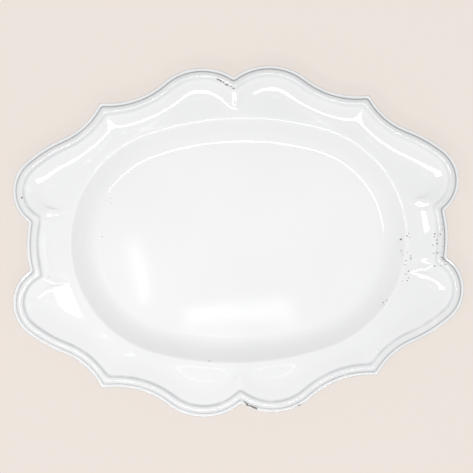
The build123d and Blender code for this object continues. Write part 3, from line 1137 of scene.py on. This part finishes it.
@dataclass(frozen=True)
class WhiteGlaze:
    """Opaque white glaze, grey where it thins or pools, bare where it has crawled, and with shade painted
    into the groove, the crease, over the bead and across the flange.

    Args:
        name: The material's name.
        white: The glaze where it is thick.
        warm: The slightly warmer white that drifts through it.
        thin_and_shade_grey: Where the glaze has thinned on an arris; also the grey of the painted shade over
            the bead and across the flange.
        pool_and_shade_grey: Where the glaze pools in the groove; also the grey of the painted shade in the
            groove and of the painted shadow in the crease.
        clay: The clay that shows in a pinhole.
        flawed: True if the mesh has flaws marked on it.
        groove_inset: Where the groove lies, in mm in from the outline.
        crease: Painted shadow of the bead in the crease, strongest at the front left.
        crown: Painted shade over the bead, stronger toward the back right.
        flange_shade_starts: rim_inset over which the painted shade across the flange comes in.
        flange_shade_ends: rim_inset over which it goes out again.
        gloss: Roughness of the smoothest glaze.
        speck_scale: Cells to the metre, some of which hold a speck.
    """

    name: str
    white: Colour = (0.832, 0.833, 0.838)
    warm: Colour = (0.812, 0.814, 0.820)
    thin_and_shade_grey: Colour = (0.465, 0.477, 0.490)
    pool_and_shade_grey: Colour = (0.345, 0.365, 0.385)
    clay: Colour = (0.22, 0.20, 0.185)
    flawed: bool = False
    groove_inset: float = 3.3
    crease: PaintedShadeBand = PaintedShadeBand(10.1, 1.9, (0.1, 0.6), 0.28, -0.55)
    crown: PaintedShadeBand = PaintedShadeBand(6.0, 5.0, (0.1, 0.5), 0.24, 0.12)
    flange_shade_starts: tuple[float, float] = (9.0, 16.0)
    flange_shade_ends: tuple[float, float] = (44.0, 50.0)
    gloss: float = 0.045
    speck_scale: float = 130.0

    def _greyed(self, recipe: Recipe, inset: Value, lip: Value, patchy: Value) -> bpy.types.NodeSocket:
        """Colour the glaze where it is thick, where it has thinned and where it pools, and paint shade into
        the groove, the crease, over the bead and across the flange.

        Args:
            recipe: The material under construction.
            inset: The rim_inset marked on the mesh.
            lip: How much the glaze has drawn off the lip.
            patchy: The unevenness of the glaze's thickness.

        Returns:
            The colour.
        """
        drift = recipe.noise(9.0, 3.0)
        colour = recipe.blend(drift.smooth(0.35, 0.7), self.white, self.warm)
        colour = recipe.blend(lip * 0.85, colour, self.thin_and_shade_grey)
        axes = recipe.node("ShaderNodeSeparateXYZ", {}, {0: recipe.place()})
        # lean grows toward the back right, away from the key light, and sets how strong the painted shade and
        # shadow are
        lean = Value(recipe, axes.outputs[0]) * 1.3 + Value(recipe, axes.outputs[1]) * 2.2
        # Groove: grey of glaze that pools there plus painted shade, stronger toward the back right
        groove = inset.peak(self.groove_inset, 1.1) * (0.55 + 0.5 * patchy + lean * 0.6)
        colour = recipe.blend(groove, colour, self.pool_and_shade_grey)
        # Painted shadow of the bead in the crease, strongest at the front left
        colour = recipe.blend(self.crease.amount(inset, patchy, lean), colour, self.pool_and_shade_grey)
        # Painted shade over the bead, stronger toward the back right
        colour = recipe.blend(self.crown.amount(inset, patchy, lean), colour, self.thin_and_shade_grey)
        # Painted shade across the flange, darker toward the back right
        flange = inset.smooth(*self.flange_shade_starts) * (1 - inset.smooth(*self.flange_shade_ends))
        return recipe.blend(flange * (0.07 + 0.08 * lean), colour, self.thin_and_shade_grey)

    def _bare(self, recipe: Recipe) -> Value:
        """Where the glaze has failed: fine specks all over, and the flaws cut into the mesh."""
        sockets = {"Vector": recipe.place(), "Scale": self.speck_scale, "Randomness": 1.0}
        cells = recipe.node("ShaderNodeTexVoronoi", {}, sockets)
        chosen = Value(recipe, cells.outputs["Color"]).over(0.86)
        speck = (1 - Value(recipe, cells.outputs["Distance"]).smooth(0.03, 0.075)) * chosen
        bare = speck * 0.55
        if self.flawed:
            ragged = recipe.marked("bare") + (recipe.noise(1500.0, 2.0) - 0.5) * 0.35
            bare = bare + ragged.smooth(0.38, 0.62)
        return bare

    def material(self) -> bpy.types.Material:
        """Make the node material."""
        recipe = Recipe(self.name)
        inset = recipe.marked("rim_inset")
        patchy = recipe.noise(70.0, 4.0, 0.6)
        lip = inset.peak(0.0, 1.2) * patchy.smooth(0.22, 0.55)
        bare = self._bare(recipe)
        colour = recipe.blend(bare, self._greyed(recipe, inset, lip, patchy), self.clay)
        gloss = self.gloss + 0.03 * recipe.noise(40.0, 2.0) + bare * 0.5 + lip * 0.15
        skin = recipe.noise(260.0, 2.0, 0.4) * 0.6 + recipe.noise(900.0, 1.0) * 0.1 - bare * 1.2
        shader = recipe.node(
            "ShaderNodeBsdfPrincipled",
            {},
            {
                "Base Color": colour,
                "Roughness": gloss,
                "Normal": recipe.bump(skin, 0.35, 0.00004),
                "IOR": 1.52,
                "Specular IOR Level": 0.5,
            },
        )
        return recipe.finish(shader)


@dataclass(frozen=True)
class FiredClay:
    """Bare fired clay, dark, gritty and rubbed paler where it stands.

    Args:
        name: The material's name.
        dark: The clay's body.
        light: Its paler grit.
        rubbed: The wear on its resting edge.
    """

    name: str
    dark: Colour = (0.075, 0.052, 0.040)
    light: Colour = (0.22, 0.16, 0.12)
    rubbed: Colour = (0.34, 0.27, 0.21)

    def material(self) -> bpy.types.Material:
        """Make the node material."""
        recipe = Recipe(self.name)
        body = recipe.noise(160.0, 6.0, 0.65)
        grit = recipe.noise(900.0, 3.0, 0.7)
        colour = recipe.blend(body.smooth(0.3, 0.75), self.dark, self.light)
        height = Value(recipe, recipe.node("ShaderNodeSeparateXYZ", {}, {0: recipe.place()}).outputs[2])
        rub = (1 - height.smooth(0.0, 0.0011)) * grit.smooth(0.35, 0.65)
        colour = recipe.blend(rub * 0.7, colour, self.rubbed)
        shader = recipe.node(
            "ShaderNodeBsdfPrincipled",
            {},
            {
                "Base Color": colour,
                "Roughness": 0.72 + 0.2 * body - rub * 0.15,
                "Normal": recipe.bump(grit + body * 0.5, 0.6, 0.00025),
                "IOR": 1.5,
            },
        )
        return recipe.finish(shader)


@dataclass(frozen=True)
class PaleTable:
    """Plain pale table top that is lit evenly, so that shadows on it stay faint.

    Args:
        name: The material's name.
        paint: The table's colour.
        glow: Share of its brightness that doesn't depend on shadows.
    """

    name: str = "pale_table"
    paint: Colour = (0.842, 0.771, 0.719)
    glow: float = 0.85

    def material(self) -> bpy.types.Material:
        """Make the node material."""
        recipe = Recipe(self.name)
        cloud = recipe.noise(3.0, 2.0)
        matt = tuple(part * (1 - self.glow) for part in self.paint)
        other = tuple(part * 0.985 for part in matt)
        shader = recipe.node(
            "ShaderNodeBsdfPrincipled",
            {},
            {
                "Base Color": recipe.blend(cloud.smooth(0.3, 0.7), matt, other),
                "Roughness": 0.9,
                "Specular IOR Level": 0.0,
                "Emission Color": self.paint,
                "Emission Strength": self.glow,
            },
        )
        return recipe.finish(shader)


# ---------------------------------------------------------------- the platter's pieces
@dataclass
class GlazedPiece:
    """One piece of the platter, and the node of the frame that it stands for.

    Args:
        name: The piece's name.
        node: The frame's node.
        slot: The frame's material slot. Not used.
        potter: Makes the surfaces.
    """

    name: str
    node: str
    slot: str
    potter: Potter

    def shell(self) -> Shell:
        """Lay out the piece's surfaces."""
        raise NotImplementedError

    def dress(self, piece: bpy.types.Object) -> None:
        """Give the piece its finish."""
        raise NotImplementedError

    def build(self) -> bpy.types.Object:
        """Make the piece, dress it and set it in the frame."""
        piece = self.shell().build()
        self.dress(piece)
        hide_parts(self.node)
        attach(piece, BODY)
        log.info("%s: %d faces for %s", self.name, len(piece.data.polygons), self.node)
        return piece


@dataclass
class FrontGlaze(GlazedPiece):
    """White glaze over the front, from the lip's edge to the middle of the well."""

    flaws: list[Flaw] = field(default_factory=list)

    def face(self) -> Rings:
        """The glaze's outer surface."""
        section = self.potter.section
        return self.potter.surface(section.front_rim(), section.front_well(), section.cove_end_slope)

    def shell(self) -> Shell:
        """Lay out the glaze's two faces."""
        section = self.potter.section
        size = self.potter.outline.points_round
        outer = self.face()
        inner = outer.thinned(4).moved(-section.glaze)
        shell = Shell(self.name)
        outer_ends = shell.surface(outer, looks_up=True)
        shell.close_middle(outer_ends[1], size, looks_up=True)
        inner_ends = shell.surface(inner, looks_up=False)
        shell.close_middle(inner_ends[1], size, looks_up=False, steps=2)
        shell.strip(inner_ends[0], outer_ends[0], size, looks_up=True)
        return shell

    def dress(self, piece: bpy.types.Object) -> None:
        """Cut the flaws and glaze the front."""
        Engraver(self.flaws).cut(piece, self.potter.section.floor * MM)
        glaze = WhiteGlaze("front_white_glaze", flawed=True)
        piece.data.materials.append(glaze.material())


@dataclass
class BackGlaze(GlazedPiece):
    """White glaze over the back, from the lip's edge in to the foot ring."""

    def face(self) -> Rings:
        """The glaze's outer surface."""
        section = self.potter.section
        return self.potter.surface(section.back_rim(), section.back_well(), 0.0)

    def shell(self) -> Shell:
        """Lay out the glaze's two faces."""
        size = self.potter.outline.points_round
        outer = self.face()
        inner = outer.thinned(3).moved(self.potter.section.glaze)
        shell = Shell(self.name)
        outer_ends = shell.surface(outer, looks_up=False)
        inner_ends = shell.surface(inner, looks_up=True)
        shell.strip(outer_ends[0], inner_ends[0], size, looks_up=True)
        shell.strip(inner_ends[1], outer_ends[1], size, looks_up=True)
        return shell

    def dress(self, piece: bpy.types.Object) -> None:
        """Glaze the back."""
        piece.data.materials.append(WhiteGlaze("back_white_glaze", white=(0.815, 0.816, 0.82)).material())


@dataclass
class FootWellGlaze(GlazedPiece):
    """White glaze inside the foot ring."""

    def shell(self) -> Shell:
        """Lay out the glaze's two faces."""
        size = self.potter.outline.points_round
        outer = self.potter.well_surface(self.potter.section.foot_well(), 0.3, 6.0)
        inner = outer.moved(self.potter.section.glaze)
        shell = Shell(self.name)
        outer_ends = shell.surface(outer, looks_up=False)
        shell.close_middle(outer_ends[1], size, looks_up=False, steps=5)
        inner_ends = shell.surface(inner, looks_up=True)
        shell.close_middle(inner_ends[1], size, looks_up=True, steps=2)
        shell.strip(outer_ends[0], inner_ends[0], size, looks_up=True)
        return shell

    def dress(self, piece: bpy.types.Object) -> None:
        """Glaze the foot well."""
        piece.data.materials.append(WhiteGlaze("foot_well_white_glaze", white=(0.80, 0.80, 0.803)).material())


@dataclass
class FootRing(GlazedPiece):
    """Oval strip of bare clay that the platter stands on."""

    def shell(self) -> Shell:
        """Lay out the ring's closed section."""
        size = self.potter.outline.points_round
        rings = self.potter.well_surface(self.potter.section.foot(), 0.12, 1.4)
        shell = Shell(self.name)
        ends = shell.surface(rings, looks_up=False)
        shell.strip(ends[1], ends[0], size, looks_up=False)
        return shell

    def dress(self, piece: bpy.types.Object) -> None:
        """Leave the clay bare."""
        piece.data.materials.append(FiredClay("bare_foot_clay").material())


@dataclass
class ClayBody(GlazedPiece):
    """Dark clay slab between the glazes.

    Args:
        front: Outer surface of the front glaze.
        back: Outer surface of the back glaze.
        foot_clearance: How far short of the foot ring the slab's back surface stops, in mm.
    """

    front: Rings | None = None
    back: Rings | None = None
    foot_clearance: float = 0.5

    def shell(self) -> Shell:
        """Lay out the slab's closed surface."""
        section = self.potter.section
        size = self.potter.outline.points_round
        shell = Shell(self.name)
        top = shell.surface(self.front.thinned(4).moved(-section.glaze), looks_up=True)
        shell.close_middle(top[1], size, looks_up=True, steps=2)
        kept = self.back.rim_inset < WELL_MARK + section.foot_outer - section.glaze - self.foot_clearance
        under = Rings(self.back.points[kept], self.back.rim_inset[kept]).thinned(3).moved(section.glaze)
        below = shell.surface(under, looks_up=False)
        shell.close_middle(below[1], size, looks_up=False, steps=4)
        shell.strip(below[0], top[0], size, looks_up=True)
        return shell

    def dress(self, piece: bpy.types.Object) -> None:
        """Leave the clay as fired."""
        piece.data.materials.append(FiredClay("slab_clay").material())


# ---------------------------------------------------------------- studio
@dataclass(frozen=True)
class SoftLight:
    """One rectangular studio light, aimed at the platter.

    Args:
        name: The light's name.
        bearing: Direction from the platter, in degrees round from +X.
        tilt: Angle down from straight overhead, in degrees.
        distance: Distance from the platter, in metres.
        size: Width and height, in metres.
        radiance: Brightness of its face.
    """

    name: str
    bearing: float
    tilt: float
    distance: float
    size: tuple[float, float]
    radiance: float

    def build(self, aim: Vector) -> None:
        """Hang the light."""
        lamp = bpy.data.lights.new(self.name, "AREA")
        lamp.shape = "RECTANGLE"
        lamp.size, lamp.size_y = self.size
        lamp.energy = self.radiance * self.size[0] * self.size[1] * math.pi
        holder = bpy.data.objects.new(self.name, lamp)
        bearing, tilt = math.radians(self.bearing), math.radians(self.tilt)
        ground = math.sin(tilt)
        away = Vector((math.cos(bearing) * ground, math.sin(bearing) * ground, math.cos(tilt)))
        holder.location = aim + away * self.distance
        holder.rotation_euler = away.to_track_quat("Z", "Y").to_euler()
        bpy.context.scene.collection.objects.link(holder)


@dataclass(frozen=True)
class LightRow:
    """Soft boxes side by side on an arc round the platter, all at one tilt.

    Args:
        name: The row's name.
        bearings: Directions of its two ends, in degrees round from +X.
        tilt: Angle down from straight overhead, in degrees.
        distance: Distance from the platter, in metres.
        height: Height of the boxes, in metres.
        radiance: Brightness of their faces at the two ends.
        boxes: How many boxes.
    """

    name: str
    bearings: tuple[float, float]
    tilt: float
    distance: float
    height: float
    radiance: tuple[float, float]
    boxes: int = 6

    def lights(self) -> list[SoftLight]:
        """The row's boxes, each as wide as its share of the arc."""
        step = (self.bearings[1] - self.bearings[0]) / self.boxes
        ground = self.distance * math.sin(math.radians(self.tilt))
        width = 2 * ground * math.tan(math.radians(abs(step)) / 2)
        made = []
        for index in range(self.boxes):
            share = (index + 0.5) / self.boxes
            bright = self.radiance[0] + (self.radiance[1] - self.radiance[0]) * share
            bearing = self.bearings[0] + step * (index + 0.5)
            size = (width, self.height)
            name = f"{self.name}_{index}"
            made.append(SoftLight(name, bearing, self.tilt, self.distance, size, bright))
        return made


@dataclass
class Studio:
    """Table, lights and camera.

    Args:
        low: Lowest corner of the platter.
        high: Highest corner.
    """

    low: Vector
    high: Vector
    sky: float = 0.74
    roll: float = 1.9
    view_width: float = 0.4196
    lens: float = 110.0
    aim_ahead: float = 0.0042
    rows: tuple[LightRow, ...] = (
        LightRow("key_row", (-175.0, -45.0), 20.5, 1.08, 0.125, (15.0, 12.5)),
    )
    lights: tuple[SoftLight, ...] = (
        SoftLight("left_panel", 195.5, 6.8, 1.7, (0.110, 0.015), 3.8),
        SoftLight("front_panel", -89.5, 4.7, 1.7, (0.208, 0.021), 3.4),
        SoftLight("side_strip", 0.0, 26.0, 1.2, (0.22, 0.04), 1.3),
    )

    def build(self) -> None:
        """Set up the whole studio."""
        self._table()
        self._sky()
        middle = (self.low + self.high) / 2
        aim = Vector((middle.x, middle.y, self.high.z))
        lights = [light for row in self.rows for light in row.lights()] + list(self.lights)
        for light in lights:
            light.build(aim)
        self._camera()
        log.info("studio: %d lights", len(lights))

    def _table(self) -> None:
        """Lay the table top at the platter's lowest point."""
        mesh = bpy.data.meshes.new("table_top")
        half = 3.0
        corners = [(-half, -half), (half, -half), (half, half), (-half, half)]
        mesh.from_pydata([(x, y, self.low.z) for x, y in corners], [], [(0, 1, 2, 3)])
        mesh.materials.append(PaleTable().material())
        table = bpy.data.objects.new("table_top", mesh)
        bpy.context.scene.collection.objects.link(table)
        table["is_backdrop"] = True

    def _sky(self) -> None:
        """Fill the room with even light."""
        world = bpy.data.worlds.new("soft_room")
        world.use_nodes = True
        world.node_tree.nodes["Background"].inputs["Color"].default_value = (1.0, 1.0, 1.0, 1.0)
        world.node_tree.nodes["Background"].inputs["Strength"].default_value = self.sky
        bpy.context.scene.world = world
        bpy.context.scene.view_settings.view_transform = "Standard"

    def _camera(self) -> None:
        """Hang the camera straight above the platter."""
        camera = bpy.data.cameras.new("overhead_camera")
        camera.lens = self.lens
        camera.sensor_width = 36.0
        holder = bpy.data.objects.new("overhead_camera", camera)
        height = self.view_width / 2 / (camera.sensor_width / 2 / camera.lens)
        middle = (self.low + self.high) / 2
        holder.location = (middle.x, middle.y + self.aim_ahead, self.high.z + height)
        holder.rotation_euler = (0.0, 0.0, -math.radians(self.roll))
        camera.clip_end = 20.0
        bpy.context.scene.collection.objects.link(holder)
        bpy.context.scene.camera = holder


def main() -> None:
    """Build the platter's pieces, one class after another, and the studio."""
    logging.basicConfig(level=logging.INFO, format="%(name)s: %(message)s")
    low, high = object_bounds()
    size = (high - low) / MM
    glaze_low, glaze_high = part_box("glaze_front")
    foot_low, foot_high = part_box("foot_ring")
    outline = Outline(length=size.x, width=size.y)
    section = Section(
        rest=foot_low.z / MM,
        foot_top=foot_high.z / MM,
        clay_floor=glaze_low.z / MM,
        crest=glaze_high.z / MM,
    )
    potter = Potter(outline, section)
    flaws = [flaw for patch in FLAWED for flaw in patch.flaws()]
    front = FrontGlaze("front_glaze", "glaze_front", "white_glaze", potter, flaws)
    back = BackGlaze("back_glaze", "glaze_back", "white_glaze_back", potter)
    pieces = [
        ClayBody("clay_slab", "clay_body", "clay", potter, front.face(), back.face()),
        FootRing("bare_foot", "foot_ring", "bare_clay", potter),
        FootWellGlaze("foot_well_glaze", "glaze_foot_well", "white_glaze_foot_well", potter),
        back,
        front,
    ]
    for piece in pieces:
        piece.build()
    Studio(low, high).build()


if __name__ == "__main__":
    main()
